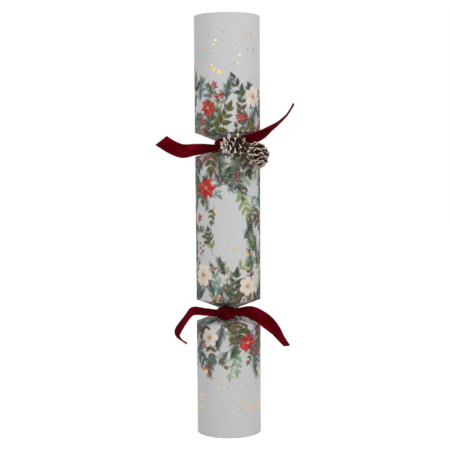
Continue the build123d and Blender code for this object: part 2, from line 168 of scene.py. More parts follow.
class Builder:
    """Collects points, faces and per-point values, and turns them into one piece."""

    def __init__(self):
        self.points, self.faces, self.values, self.count = [], [], {}, 0

    def add(self, points, faces, **values):
        """Adds points, faces that count from the first of them, and values for each of them."""
        start = self.count
        self.points.append(np.reshape(points, (-1, 3)))
        self.faces.extend((faces + start).tolist())
        self.count += len(self.points[-1])
        for name, value in values.items():
            self.values.setdefault(name, []).append(np.reshape(value, (self.count - start, -1)))
        return start

    def wall(self, near, far):
        """Quads between two rows of points, given by their numbers."""
        self.faces.extend(zip(near, near[1:], far[1:], far))

    def strip(self, rings, **values):
        """Adds a closed strip from the rings round it, and fills both of its ends."""
        rows, columns = rings.shape[:2]
        start = self.add(rings, grid_faces(rows, columns, wrap=True), **values)
        for first in (start, start + (rows - 1) * columns):
            last = first + columns - 1
            self.wall(range(first, first + columns // 2), range(last, last - columns // 2, -1))

    def piece(self, name, material, weld=0.0):
        """The piece, with its points closer than weld joined and its faces turned outwards."""
        mesh = bpy.data.meshes.new(name)
        mesh.from_pydata((np.concatenate(self.points) * MM).tolist(), [], self.faces)
        for key, parts in self.values.items():
            value = np.concatenate(parts)
            colour = value.shape[1] == 3
            if colour:
                value = np.insert(value, 3, 1, axis=1)
            layer = mesh.attributes.new(key, "FLOAT_COLOR" if colour else "FLOAT", "POINT")
            layer.data.foreach_set("color" if colour else "value", value.astype(np.float32).ravel())
        work = bmesh.new()
        work.from_mesh(mesh)
        if weld:
            bmesh.ops.remove_doubles(work, verts=work.verts, dist=weld * MM)
        bmesh.ops.recalc_face_normals(work, faces=work.faces)
        work.to_mesh(mesh)
        work.free()
        mesh.shade_smooth()
        mesh.materials.append(material)
        made = bpy.data.objects.new(name, mesh)
        bpy.context.scene.collection.objects.link(made)
        return made


# Materials

class Nodes:
    """A material or a world, with short ways to add and link its nodes."""

    def __init__(self, name, store=bpy.data.materials):
        self.owner = store.new(name)
        self.owner.use_nodes = True
        self.tree = self.owner.node_tree
        self.shader = self.tree.nodes.get("Principled BSDF") or self.tree.nodes.get("Background")

    def add(self, kind, inputs=None, **settings):
        node = self.tree.nodes.new("ShaderNode" + kind)
        for key, value in settings.items():
            setattr(node, key, value)
        for key, value in (inputs or {}).items():
            self.put(node.inputs[key], value)
        return node

    def put(self, socket, value):
        if isinstance(value, bpy.types.NodeSocket):
            self.tree.links.new(value, socket)
        else:
            socket.default_value = value

    def set(self, **inputs):
        for key, value in inputs.items():
            self.put(self.shader.inputs[key.replace("_", " ")], value)

    def noise(self, scale, detail=3.0, roughness=0.6, stretch=None):
        where = self.add("TexCoord").outputs["Object"]
        if stretch:
            where = self.add("Mapping", {"Vector": where, "Scale": stretch}).outputs[0]
        made = self.add("TexNoise", {"Vector": where, "Scale": scale, "Detail": detail, "Roughness": roughness})
        return made.outputs["Fac"]

    def spread(self, value, low, high, to_low=0.0, to_high=1.0):
        return self.add("MapRange", {
            "Value": value, "From Min": low, "From Max": high, "To Min": to_low, "To Max": to_high,
        }).outputs[0]

    def mix(self, share, first, second, blend="MIX"):
        made = self.add("Mix", data_type="RGBA", blend_type=blend)
        self.put(made.inputs[0], share)
        self.put(made.inputs[6], first)
        self.put(made.inputs[7], second)
        return made.outputs[2]

    def bump(self, height, strength, distance):
        return self.add("Bump", {"Height": height, "Strength": strength, "Distance": distance}).outputs[0]

    def seen(self):
        """1 for rays from the camera, in reflections and through glass, else 0."""
        path = self.add("LightPath").outputs
        share = path["Is Camera Ray"]
        for ray in ("Is Glossy Ray", "Is Transmission Ray"):
            share = self.add("Math", {0: share, 1: path[ray]}, operation="MAXIMUM").outputs[0]
        return share


def paint(code):
    """Colour of a hex code for a shader."""
    return (*srgb(code), 1.0)


def printed_card():
    """Uncoated printed card with hot foil, from the ink and foil values of the mesh."""
    m = Nodes("printed_card")
    ink = m.add("Attribute", attribute_name="ink").outputs["Color"]
    foil = m.add("Attribute", attribute_name="foil").outputs["Fac"]
    fibre = m.spread(m.noise(900, 4), 0.3, 0.7, 0.965, 1.02)
    leafing = m.spread(m.noise(420), 0.3, 0.7, 0.85, 1.15)
    inked = m.mix(1.0, ink, fibre, "MULTIPLY")
    gilded = m.mix(1.0, ink, leafing, "MULTIPLY")
    m.set(Base_Color=m.mix(foil, inked, gilded), Metallic=foil, Roughness=m.spread(foil, 0, 1, 0.62, 0.24),
          Specular_IOR_Level=0.15, Normal=m.bump(m.noise(2600, 2), 0.12, 0.0002))
    return m.owner


def velvet():
    """Short pile with a bright rim; its colour holds painted shade and sheen from the mesh, dark where that value is
    low and crimson where it is high.
    """
    m = Nodes("velvet")
    nap = m.add("Attribute", attribute_name="nap").outputs["Fac"]
    uneven = m.spread(m.noise(110, 1), 0.3, 0.7, -0.12, 0.12)
    # Painted shade and sheen from the mesh, made uneven by a noise
    light_and_tone = m.add("Math", {0: nap, 1: uneven}, operation="ADD").outputs[0]
    low = m.mix(m.spread(light_and_tone, 0.0, 0.5), paint("#2c0003"), paint("#5a0008"))
    colour = m.mix(m.spread(light_and_tone, 0.5, 1.0), low, paint("#8c0028"))
    pile = m.noise(4200, 2)
    m.set(Base_Color=m.mix(m.spread(pile, 0.3, 0.7, 0.0, 0.25), colour, paint("#3a0005")),
          Roughness=m.spread(pile, 0.3, 0.7, 0.85, 0.97), Specular_IOR_Level=0.04, Sheen_Weight=0.5,
          Sheen_Roughness=0.3, Sheen_Tint=paint("#b5063c"), Normal=m.bump(pile, 0.14, 0.0002))
    return m.owner


def cone_scale():
    """Woody scales, darker towards the root with painted shade in the gaps between them, and whitewash brushed on the
    tips.
    """
    m = Nodes("cone_scale")
    along = m.add("Attribute", attribute_name="along").outputs["Fac"]
    wash = m.add("Attribute", attribute_name="wash").outputs["Fac"]
    grain = m.noise(700, 4, 0.65)
    # Painted shade: near black at the root of each scale, brown towards its tip
    dark = m.mix(m.spread(along, 0.25, 0.85), paint("#20140c"), paint("#5a3e2a"))
    wood = m.mix(m.spread(grain, 0.35, 0.7, 0.0, 0.5), dark, paint("#7a563c"))
    patchy = m.add("Math", {0: wash, 1: m.spread(m.noise(520, 3), 0.3, 0.62, 0.25, 1.0)}, operation="MULTIPLY")
    white = m.mix(m.noise(900), paint("#c8b4a2"), paint("#f2ebe3"))
    m.set(Base_Color=m.mix(m.spread(patchy.outputs[0], 0.25, 0.6), wood, white), Specular_IOR_Level=0.3,
          Roughness=m.spread(grain, 0.3, 0.7, 0.65, 0.9), Normal=m.bump(grain, 0.5, 0.0004))
    return m.owner


def fibrous(name, light, dark, scale, roughness, stretch=None, strength=0.25):
    """Paper, board, wood or grit: two tones through a noise, with the same noise as relief."""
    m = Nodes(name)
    noise = m.noise(scale, 4, 0.65, stretch)
    m.set(Base_Color=m.mix(m.spread(noise, 0.3, 0.7), paint(dark), paint(light)), Specular_IOR_Level=0.3,
          Roughness=m.spread(noise, 0.3, 0.7, roughness + 0.08, roughness - 0.08),
          Normal=m.bump(noise, strength, 0.0003))
    return m.owner


def wire():
    """Dull florist's wire."""
    m = Nodes("wire")
    tarnish = m.noise(1400, 3)
    m.set(Base_Color=m.mix(m.spread(tarnish, 0.35, 0.65), paint("#4a4038"), paint("#8a7c6c")), Metallic=0.85,
          Roughness=m.spread(tarnish, 0.3, 0.7, 0.35, 0.6))
    return m.owner


# The printed sheet, unrolled: across is round the tube from the back seam, along is up the profile

# Cells of the sheet to a millimetre
CELLS = 4
FOLD_LENGTH = math.hypot(R - NECK_RADIUS, RISE)
CHOKE_LENGTH = 2 * FOLD_LENGTH + NECK_BAND
SHEET_WIDTH = 2 * math.pi * R
SHEET_LENGTH = 2 * END_LENGTH + 2 * CHOKE_LENGTH + BARREL_LENGTH
BARREL_START = END_LENGTH + CHOKE_LENGTH
BARREL_STOP = BARREL_START + BARREL_LENGTH
UPPER_START = BARREL_STOP + CHOKE_LENGTH
MIDDLE = (BARREL_START + BARREL_STOP) / 2
FRONT = SHEET_WIDTH / 2
ROWS = int(SHEET_LENGTH * CELLS)
COLUMNS = int(SHEET_WIDTH * CELLS)

PAPER = srgb("#cdcdce")
LEAF_INKS = [srgb(c) for c in ("#1b3a32", "#2c4626", "#4a471b", "#54431e", "#265653", "#4a4c1c", "#33331a")]
PALE_INKS = [srgb(c) for c in ("#7c9a7e", "#8a9a5a", "#6a9490", "#929a66", "#a3b19a")]
FIR_INKS = [srgb(c) for c in ("#183430", "#244a42", "#33686e", "#3f6039")]
TWIG = srgb("#5a4232")
BLOSSOM_EYE = srgb("#b98a4a")
BERRY_INKS = [srgb(c) for c in ("#b32c3a", "#c8404a", "#9c2230")]
CREAM = srgb("#eadcce")
STAR_INKS = [srgb(c) for c in ("#b32a2e", "#972028", "#c03a38")]
GOLD = srgb("#c9ab7c")
FOIL_BRIGHT = srgb("#d6b06e")
FOIL_PALE = srgb("#dcbf96")
FOIL_DULL = srgb("#a8946c")
VEIN = srgb("#b9a572")
OLIVE = srgb("#4c4020")
CARD_WHITE = srgb("#dcdad5")
# Share of foil in a gilt vein, and of the dark sprigs that have it
VEIN_FOIL = 0.9
GILT_SPRIGS = 0.7
# Width of the pale rim of a leaf, and the inner radius of a star as a share of its outer one
LEAF_RIM = 0.3
STAR_NOTCH = 0.45
# Half width and half height of the plain panel in front, and how far it lies below the barrel's middle
PANEL_WIDTH = 10.5
PANEL_HEIGHT = 25
PANEL_DROP = 2
# Crease, direction of growth and depth of each of the four dense edges
EDGES = [(UPPER_START, 1, 27), (BARREL_STOP, -1, 46), (BARREL_START, 1, 46), (END_LENGTH, -1, 27)]
# How far the greenery runs into a choke, the depth of a rank, and the loss of number and of length over the ranks
CHOKE_COVER = 17
RANK_DEPTH = 10.5
RANK_THINNING = 0.09
RANK_SHORTENING = 0.3
# Places of the flowers round the sheet, as shares of its width, with their heights and sizes
BLOSSOMS = [
    (0.36, MIDDLE - 33, 8.5), (0.60, MIDDLE - 41, 7), (0.80, MIDDLE + 28, 8), (0.10, MIDDLE - 8, 8.5),
    (0.64, UPPER_START + 25, 7.5), (0.18, UPPER_START + 12, 7.5), (0.40, END_LENGTH - 9, 7),
    (0.88, END_LENGTH - 15, 7.5),
]
STAR_FLOWERS = [
    (0.385, MIDDLE + 30, 9.5), (0.91, MIDDLE - 30, 10), (0.22, MIDDLE + 14, 9), (0.40, UPPER_START + 17, 7),
    (0.84, UPPER_START + 20, 9), (0.60, END_LENGTH - 13, 8), (0.12, END_LENGTH - 12, 8),
]
# Berries: branches of a spray, and number of bunches
SPRAY_BRANCHES = 5
BERRY_BUNCHES = 22
# Lowest and highest place and number of the foil motifs near both mouths and on the barrel
FOIL_BANDS = [(17, 50, 230), (SHEET_LENGTH - 52, SHEET_LENGTH - 13, 260), (BARREL_START, BARREL_STOP, 120)]
# Share of stars among them, least size and spread of a star, least size of a bright one, and sizes of a dot
STAR_SHARE = 0.15
STAR_LEAST = 1.0
STAR_SPREAD = 1.9
STAR_LARGE = 1.7
DOT_SIZES = (0.38, 0.7)
# Painted shadow beside the lapped edge, as a factor on the print's colour
SEAM_PAINTED_SHADOW = 0.62

sheet_ink = np.empty((ROWS, COLUMNS, 3))
sheet_foil = np.zeros((ROWS, COLUMNS))


def blend(under, over, share):
    """Colours of under with a share of over."""
    return under * (1 - share[..., None]) + over * share[..., None]


def stamp(across, along, turn, reach, shape):
    """Paints shape(x, y), which gives colour, cover and foil, on the cells within reach of a place."""
    low = max(0, int((along - reach) * CELLS))
    high = min(ROWS, int((along + reach) * CELLS) + 2)
    if high <= low:
        return
    columns = np.arange(int((across - reach) * CELLS), int((across + reach) * CELLS) + 2)
    x, y = np.meshgrid((columns + 0.5) / CELLS - across, (np.arange(low, high) + 0.5) / CELLS - along)
    cos, sin = math.cos(turn), math.sin(turn)
    colour, cover, foil = shape(x * cos + y * sin, y * cos - x * sin)
    where = np.ix_(np.arange(low, high), columns % COLUMNS)
    sheet_ink[where] = blend(sheet_ink[where], colour, cover)
    sheet_foil[where] = sheet_foil[where] * (1 - cover) + foil * cover


def edge(distance):
    """Cover of a cell whose middle is that far inside an outline."""
    return np.clip(distance * CELLS * 0.7 + 0.5, 0, 1)


def leaf(across, along, turn, length, width, ink, gilt=0.0, ribs=True):
    """Pointed oval leaf from its stalk outwards, with a midrib, side veins and a lighter half."""
    light = 1 + rng.uniform(-0.12, 0.2)

    def shape(x, y):
        share = np.clip(x / length, 0, 1)
        half = width / 2 * np.sin(math.pi * share ** 0.8)
        inside = half - np.abs(y)
        cover = edge(inside + (LEAF_RIM if ribs else 0.0)) * (x > 0) * (x < length)
        tone = light * np.where(y > 0, 1.15, 0.75) * (1 + 0.2 * share)
        colour = ink * tone[..., None]
        if ribs:
            flush = 0.45 * (y > 0) * smooth(share, 0.2, 0.9)
            colour = blend(colour, 0.5 * ink + OLIVE, flush)
        vein = 0.75 * edge(0.06 - np.abs(y)) * smooth(1 - share, 0.05, 0.3)
        if ribs:
            slant = np.mod(x - 0.9 * np.abs(y), 1.9) - 0.95
            vein = np.maximum(vein, 0.45 * edge(0.02 - np.abs(slant)) * (np.abs(y) < 0.8 * half))
        colour = blend(colour, VEIN, vein)
        if ribs:
            colour = blend(colour, 0.4 * ink + 0.6 * PAPER, 0.7 * (1 - edge(inside)))
        return colour, cover, gilt * vein

    stamp(across, along, turn, length + 0.5, shape)


def stroke(across, along, turn, length, width, ink):
    """Tapered brush stroke."""

    def shape(x, y):
        share = np.clip(x / length, 0, 1)
        cover = edge(width / 2 * (1 - 0.65 * share) - np.abs(y)) * (x > 0) * (x < length)
        return ink, cover, 0.0

    stamp(across, along, turn, length + 0.5, shape)


def berry(across, along, size):
    """Round berry, lit from above on the left, with a glint."""
    ink = BERRY_INKS[rng.integers(len(BERRY_INKS))]

    def shape(x, y):
        light = np.clip(1.15 - 0.5 * np.hypot(x + 0.3 * size, y - 0.3 * size) / size, 0.5, 1.4)
        glint = edge(0.22 * size - np.hypot(x + 0.35 * size, y - 0.35 * size))
        return blend(ink * light[..., None], CREAM, glint), edge(size - np.hypot(x, y)), 0.0

    stamp(across, along, 0, size + 0.5, shape)


def gilt_dot(across, along, size, ink=GOLD):
    """Round foil dot."""
    stamp(across, along, 0, size + 0.5, lambda x, y: (ink, edge(size - np.hypot(x, y)), 1.0))


def dot_ring(across, along, far, count, size):
    """Ring of foil dots."""
    for k in range(count):
        turn = k * 2 * math.pi / count
        gilt_dot(across + far * math.cos(turn), along + far * math.sin(turn), size)


def gilt_star(across, along, size, turn, ink):
    """Five-pointed foil star with straight sides."""
    fifth, notch = math.pi / 5, STAR_NOTCH * size

    def shape(x, y):
        angle = np.abs(np.mod(np.arctan2(y, x), 2 * fifth) - fifth)
        slope = (1 / size - math.cos(fifth) / notch) / math.sin(fifth)
        bound = 1 / (np.cos(angle) / notch + np.sin(angle) * slope)
        return ink, edge(bound - np.hypot(x, y)), 1.0

    stamp(across, along, turn, size + 0.5, shape)


def walk(across, along, turn, length, steps, bend):
    """Points and headings of a gently bent stem."""
    for k in range(steps):
        heading = turn + bend * k / steps
        across += math.cos(heading) * length / steps
        along += math.sin(heading) * length / steps
        yield (k + 1) / steps, across, along, heading


def fir_twig(across, along, turn, length):
    """Stem with two rows of needles that lean forward and shorten to the tip."""
    ink = FIR_INKS[rng.integers(len(FIR_INKS))]
    bend = rng.uniform(-0.5, 0.5)
    steps = int(length * 0.85)
    for share, a, b, heading in walk(across, along, turn, length, steps, bend):
        reach = (0.36 * length * (1 - 0.65 * share) + 1.6) * rng.uniform(0.85, 1.1)
        for side in (-1, 1):
            tone = ink * rng.uniform(0.8, 1.35)
            stroke(a, b, heading + side * rng.uniform(0.55, 0.8), min(reach, 8), 0.72, tone)
        stroke(a, b, heading + math.pi, length / steps + 0.3, 0.55, TWIG)


def sprig(across, along, turn, length, inks, gilt, width=0.42):
    """Stem with pairs of leaves and one at its tip."""
    ink = inks[rng.integers(len(inks))]
    bend = rng.uniform(-0.7, 0.7)
    pairs = max(3, int(length / 4.4))
    last = (across, along, turn)
    for share, a, b, heading in walk(across, along, turn, length, pairs, bend):
        stroke(a, b, heading + math.pi, length / pairs + 0.3, 0.5, TWIG)
        size = length * 0.46 * (1.1 - 0.5 * share) * rng.uniform(0.85, 1.12)
        for side in (-1, 1):
            lean = side * rng.uniform(0.6, 0.95)
            leaf(a, b, heading + lean, size, width * size, ink * rng.uniform(0.8, 1.25), gilt)
        last = (a, b, heading)
    leaf(*last, length * 0.4, width * length * 0.4, ink, gilt)


def dark_sprig(across, along, turn, length):
    """Dark sprig, most often with foil on its veins."""
    sprig(across, along, turn, length, LEAF_INKS, VEIN_FOIL if rng.random() < GILT_SPRIGS else 0.0)


def berry_spray(across, along, turn, length):
    """Thin branching stalk with a berry on each branch."""
    for _, a, b, heading in walk(across, along, turn, length, SPRAY_BRANCHES, rng.uniform(-0.6, 0.6)):
        stroke(a, b, heading + math.pi, length / SPRAY_BRANCHES + 0.2, 0.4, TWIG)
        side = rng.choice((-1, 1))
        branch = heading + side * rng.uniform(0.5, 1.0)
        reach = rng.uniform(1.8, 3.2)
        stroke(a, b, branch, reach, 0.35, TWIG)
        berry(a + math.cos(branch) * reach, b + math.sin(branch) * reach, rng.uniform(0.8, 1.15))


def berry_bunch(across, along, count):
    """Tight bunch of berries."""
    for k in range(count):
        turn, far = k * math.radians(GOLDEN_ANGLE), 0.95 * math.sqrt(k + 0.3)
        berry(across + far * math.cos(turn), along + far * math.sin(turn), rng.uniform(0.85, 1.1))


def blossom(across, along, size):
    """Cream flower of six round petals with a gold eye."""
    start = rng.uniform(0, math.pi)
    for k in range(6):
        turn = start + k * math.pi / 3
        tone = rng.uniform(0.9, 1.04)

        def shape(x, y, tone=tone):
            share = np.clip(x / size, 0, 1)
            half = 0.34 * size * np.sqrt(np.clip(1 - ((share - 0.62) / 0.42) ** 2, 0, 1))
            half = np.maximum(half, 0.1 * size * (share < 0.6))
            cover = edge(half - np.abs(y)) * (x > 0) * (x < size)
            shade = tone * (0.84 + 0.16 * smooth(share, 0.15, 0.6)) * (1 - 0.1 * edge(0.1 - np.abs(y)))
            return CREAM * shade[..., None], cover, 0.0

        stamp(across, along, turn, size + 0.5, shape)
    stamp(across, along, 0, 0.3 * size,
          lambda x, y: (BLOSSOM_EYE, edge(0.17 * size - np.hypot(x, y)), 0.0))
    dot_ring(across, along, 0.24 * size, 9, 0.28)


def star_flower(across, along, size):
    """Red winter flower: two rings of pointed bracts round a few gold dots."""
    start = rng.uniform(0, math.pi)
    for ring, (share, count) in enumerate(((1.0, 7), (0.66, 6))):
        for k in range(count):
            ink = STAR_INKS[(k + ring) % len(STAR_INKS)]
            turn = start + ring * 0.4 + k * 2 * math.pi / count
            leaf(across, along, turn, size * share, 0.5 * size * share, ink, 0.0, False)
    dot_ring(across, along, 0.09 * size, 5, 0.4)


def bare(across, along):
    """Whether a place is in the plain panel at the front of the barrel."""
    x = (across - FRONT) / PANEL_WIDTH
    y = (along - MIDDLE + PANEL_DROP) / PANEL_HEIGHT
    return x * x + y * y < 1


def greenery(low, high, heading, count, reach, draw, spread):
    """Scatters a motif over a band of the sheet, evenly round it, about a heading and clear of the panel."""
    for k in range(count):
        across = SHEET_WIDTH * (k + rng.uniform(-0.4, 0.4)) / count % SHEET_WIDTH
        along = rng.uniform(low, high)
        turn = heading + rng.uniform(-spread, spread)
        length = rng.uniform(*reach)
        steps = [length * share for share in (0, 0.6, 1.2)]
        if not any(bare(across + far * math.cos(turn), along + far * math.sin(turn)) for far in steps):
            draw(across, along, turn, length)


# Motifs from the back to the front: number in the first rank, lengths, spread of the headings, and brush
LAYERS = [
    (6, (15, 22), 1.1, partial(sprig, inks=PALE_INKS, gilt=0.0, width=0.34)),
    (8, (14, 21), 1.0, fir_twig),
    (5, (17, 24), 0.8, dark_sprig),
    (4, (9, 14), 1.2, fir_twig),
    (4, (10, 14), 1.0, partial(sprig, inks=LEAF_INKS, gilt=0.0)),
    (5, (8, 13), 1.0, berry_spray),
]


def print_sheet():
    """Dense greenery at both chokes that thins towards the two mouths and leaves a plain panel in front."""
    sheet_ink[:] = PAPER
    for count, reach, spread, draw in LAYERS:
        for crease, way, depth in EDGES:
            near, far = crease - CHOKE_COVER * way, crease + depth * way
            ranks = round((depth + CHOKE_COVER) / RANK_DEPTH)
            for rank in range(ranks):
                start = near + (far - near) * rank / ranks
                stop = start + (far - near) / ranks
                number = max(2, round(count * (1 - RANK_THINNING * rank)))
                short = [length * (1 - RANK_SHORTENING * rank / ranks) for length in reach]
                greenery(min(start, stop), max(start, stop), math.pi / 2 * way, number, short, draw, spread)
    for flower, places in ((blossom, BLOSSOMS), (star_flower, STAR_FLOWERS)):
        for across, along, size in places:
            flower(across * SHEET_WIDTH, along, size)
    for k in range(BERRY_BUNCHES):
        across = SHEET_WIDTH * (k + rng.uniform(0, 0.8)) / BERRY_BUNCHES
        along = rng.choice((rng.uniform(BARREL_START + 4, BARREL_STOP - 4), UPPER_START + rng.uniform(2, 36),
                            END_LENGTH - rng.uniform(2, 26)))
        if not bare(across, along):
            berry_bunch(across, along, int(rng.integers(5, 10)))
    # White cut edge of the lap at the back, and a painted shadow beside it
    seam = (SHEET_WIDTH - LAP_WIDTH / 2) * CELLS
    sheet_ink[:, int(seam):int(seam + GRID * CELLS)] = CARD_WHITE
    sheet_ink[:, int(seam - GRID * CELLS):int(seam)] *= SEAM_PAINTED_SHADOW
    for low, high, count in FOIL_BANDS:
        for _ in range(count):
            across, along = rng.uniform(0, SHEET_WIDTH), rng.uniform(low, high)
            if rng.random() < STAR_SHARE:
                size = STAR_LEAST + STAR_SPREAD * rng.random() ** 2
                gilt_star(across, along, size, rng.uniform(0, 2), FOIL_BRIGHT if size > STAR_LARGE else FOIL_PALE)
            else:
                size = rng.uniform(*DOT_SIZES)
                gilt_dot(across, along, size, FOIL_DULL + (FOIL_PALE - FOIL_DULL) * rng.random())


def printed(azimuth, along):
    """Ink and foil of the sheet at an azimuth round the axis and a length along the profile."""
    across = np.mod(azimuth + math.pi / 2 + math.pi, 2 * math.pi) * R
    column = across * CELLS - 0.5
    row = np.clip(along * CELLS - 0.5, 0, ROWS - 1.001)
    c0, r0 = np.floor(column).astype(int), np.floor(row).astype(int)
    fc, fr = column - c0, row - r0
    ink, foil = 0.0, 0.0
    for dr in (0, 1):
        for dc in (0, 1):
            share = (fr if dr else 1 - fr) * (fc if dc else 1 - fc)
            where = (np.minimum(r0 + dr, ROWS - 1), (c0 + dc) % COLUMNS)
            ink = ink + sheet_ink[where] * share[..., None]
            foil = foil + sheet_foil[where] * share
    return ink, foil


# Printed card pieces

# Dip in the middle of a folded tab, room inside the crease, and rows of the outside to one of the inside
TAB_SAG = 0.5
CREASE_ROOM = 0.6
INSIDE_STEP = 6


def resample(outline):
    """Rows along an outline of (radius, height) points: positions, outward normals and lengths."""
    rows, normals, lengths, done = [], [], [], 0.0
    for (r0, z0), (r1, z1) in zip(outline, outline[1:]):
        long = math.hypot(r1 - r0, z1 - z0)
        steps = max(1, round(long / GRID))
        for k in range(steps):
            rows.append((r0 + (r1 - r0) * k / steps, z0 + (z1 - z0) * k / steps))
            normals.append(((z1 - z0) / long, -(r1 - r0) / long))
            lengths.append(done + long * k / steps)
        done += long
    rows.append(outline[-1])
    normals.append(normals[-1])
    lengths.append(done)
    return np.array(rows), np.array(normals), np.array(lengths)


def lap(azimuth):
    """How far the overlapping edge of the card stands out at the back: a step on one side, flush on the other."""
    across = (np.mod(azimuth, 2 * math.pi) - math.pi / 2) * R
    step = -LAP_WIDTH / 2
    return CARD * smooth(across, step, step + GRID) * (1 - smooth(across, 0, -step))


def end_card(name, upper):
    """One end: printed tube, folded tabs with slits between them, and the plain inside."""
    fold_top = END_LENGTH + RISE
    neck_top = fold_top + NECK_BAND
    rim_top = END_LENGTH + CHOKE_HEIGHT
    rows, normals, lengths = resample([
        (R, 0), (R, END_LENGTH), (NECK_RADIUS, fold_top), (NECK_RADIUS, neck_top),
        (R, rim_top - CARD), (R - CARD / 4, rim_top),
    ])
    radius, height = rows.T
    on_tube = (lengths <= END_LENGTH - LAP_SETBACK).astype(float)
    in_choke = height > END_LENGTH
    root = R - SLIT_ROOT
    open_share = np.clip((root - radius) / (root - NECK_RADIUS), 0, 1) * in_choke
    gap = SLIT_WIDTH / 2 * open_share / radius
    fold_share = np.clip((R - radius) / (R - NECK_RADIUS), 0, 1)
    sag = TAB_SAG * np.sin(math.pi * fold_share) * in_choke
    inner_rows = [0, int(np.argmax(lengths >= END_LENGTH - CREASE_ROOM))]
    inner_rows += [*range(int(np.argmax(in_choke)), len(rows) - 1, INSIDE_STEP), len(rows) - 1]
    built = Builder()
    t = np.linspace(-1, 1, TAB_COLUMNS + 1)
    columns = TAB_COLUMNS + 1
    for tab in range(TAB_COUNT):
        azimuth = 2 * math.pi * tab / TAB_COUNT + t * (math.pi / TAB_COUNT - gap[:, None])
        dip = sag[:, None] * (1 - t ** 2)
        r = radius[:, None] + lap(azimuth) * on_tube[:, None] - dip * normals[:, :1]
        z = height[:, None] - dip * normals[:, 1:]
        outer = polar(r, azimuth, z)
        r_in = radius[inner_rows, None] - (CARD + dip[inner_rows]) * normals[inner_rows, :1]
        z_in = z[inner_rows] - CARD * normals[inner_rows, 1:]
        z_in[0] = 0
        z_in[-1] = rim_top
        inner = polar(r_in, azimuth[inner_rows], z_in)
        along = np.broadcast_to(lengths[:, None], azimuth.shape)
        if upper:
            outer[..., 2] = TOTAL - outer[..., 2]
            inner[..., 2] = TOTAL - inner[..., 2]
            along = SHEET_LENGTH - along
        ink, foil = printed(azimuth, along)
        start = built.add(outer, grid_faces(len(rows), columns), ink=ink, foil=foil)
        first = built.add(inner, grid_faces(len(inner_rows), columns),
                          ink=np.broadcast_to(CARD_WHITE, inner.shape), foil=np.zeros(inner.shape[:2]))
        for here, row in ((0, 0), (len(inner_rows) - 1, len(rows) - 1)):
            near, far = start + row * columns, first + here * columns
            built.wall(range(near, near + columns), range(far, far + columns))
        for column in (0, TAB_COLUMNS):
            for here, pair in enumerate(zip(inner_rows, inner_rows[1:])):
                if gap[pair[0]] > 0 or gap[pair[1]] > 0:
                    built.wall([start + row * columns + column for row in pair],
                               [first + row * columns + column for row in (here, here + 1)])
    return built.piece(name, card_material, weld=0.01)


def barrel_card():
    """The printed middle tube with its plain inside."""
    rows, _, lengths = resample([(R, BARREL_FOOT), (R, BARREL_HEAD)])
    columns = TAB_COUNT * TAB_COLUMNS
    azimuth = 2 * math.pi * np.arange(columns) / columns + np.zeros((len(rows), 1))
    inset = ((lengths > LAP_SETBACK) & (lengths < BARREL_LENGTH - LAP_SETBACK)).astype(float)
    r = R + lap(azimuth) * inset[:, None]
    z = np.broadcast_to(rows[:, 1:], azimuth.shape)
    ink, foil = printed(azimuth, BARREL_START + lengths[:, None] + np.zeros(azimuth.shape))
    built = Builder()
    outer = polar(r, azimuth, z)
    built.add(outer, grid_faces(len(rows), columns, wrap=True), ink=ink, foil=foil)
    ends = [0, len(rows) - 1]
    inner = polar(R - CARD, azimuth[ends], z[ends])
    first = built.add(inner, grid_faces(2, columns, wrap=True),
                      ink=np.broadcast_to(CARD_WHITE, inner.shape), foil=np.zeros(inner.shape[:2]))
    ring = [k % columns for k in range(columns + 1)]
    for here, row in enumerate(ends):
        built.wall([row * columns + k for k in ring], [first + here * columns + k for k in ring])
    return built.piece("barrel_card", card_material)


# Velvet ribbon

# Length of a tail inside its knot and of the painted shade beside it, and samples along each stretch and across the
# width
TUCK = 3.0
PAINTED_SHADE_LENGTH = 15.0
TAIL_STEPS = 14
TAIL_ACROSS = 13
# Samples along and round a lump of a knot, and round a loop and across it, with its pleats and their thickness
LUMP_ROWS = 40
LUMP_COLUMNS = 64
LOOP_COLUMNS = 120
LOOP_ROWS = 33
LOOP_PLEATS = 4
PLEAT_THICKNESS = 0.3


def groove_half(radius):
    """Half height of the groove between the two folds of a choke."""
    return NECK_BAND / 2 + max(0.0, radius - NECK_RADIUS) * FOLD


def knot_depth(height):
    """Y of a knot's middle, drawn in until it meets both folds."""
    half = KNOT_DEPTH / 2 + RIBBON_THICKNESS
    support = math.hypot(height / 2, FOLD * half) + KNOT_CLEARANCE
    return -(NECK_RADIUS + (support - NECK_BAND / 2) / FOLD - half) - KNOT_DEPTH / 2 - RIBBON_THICKNESS


def curve_through(values, steps):
    """Smooth samples through rows of values, with equal steps between each two rows."""
    values = np.asarray(values, float)
    padded = np.vstack([2 * values[0] - values[1], values, 2 * values[-1] - values[-2]])
    made = []
    for k in range(1, len(padded) - 2):
        a, b, c, d = padded[k - 1:k + 3]
        for t in np.arange(steps) / steps:
            bow = (2 * a - 5 * b + 4 * c - d) * t * t
            twist = (3 * b - a - 3 * c + d) * t ** 3
            made.append(0.5 * (2 * b + (c - a) * t + bow + twist))
    return np.array(made + [values[-1]])


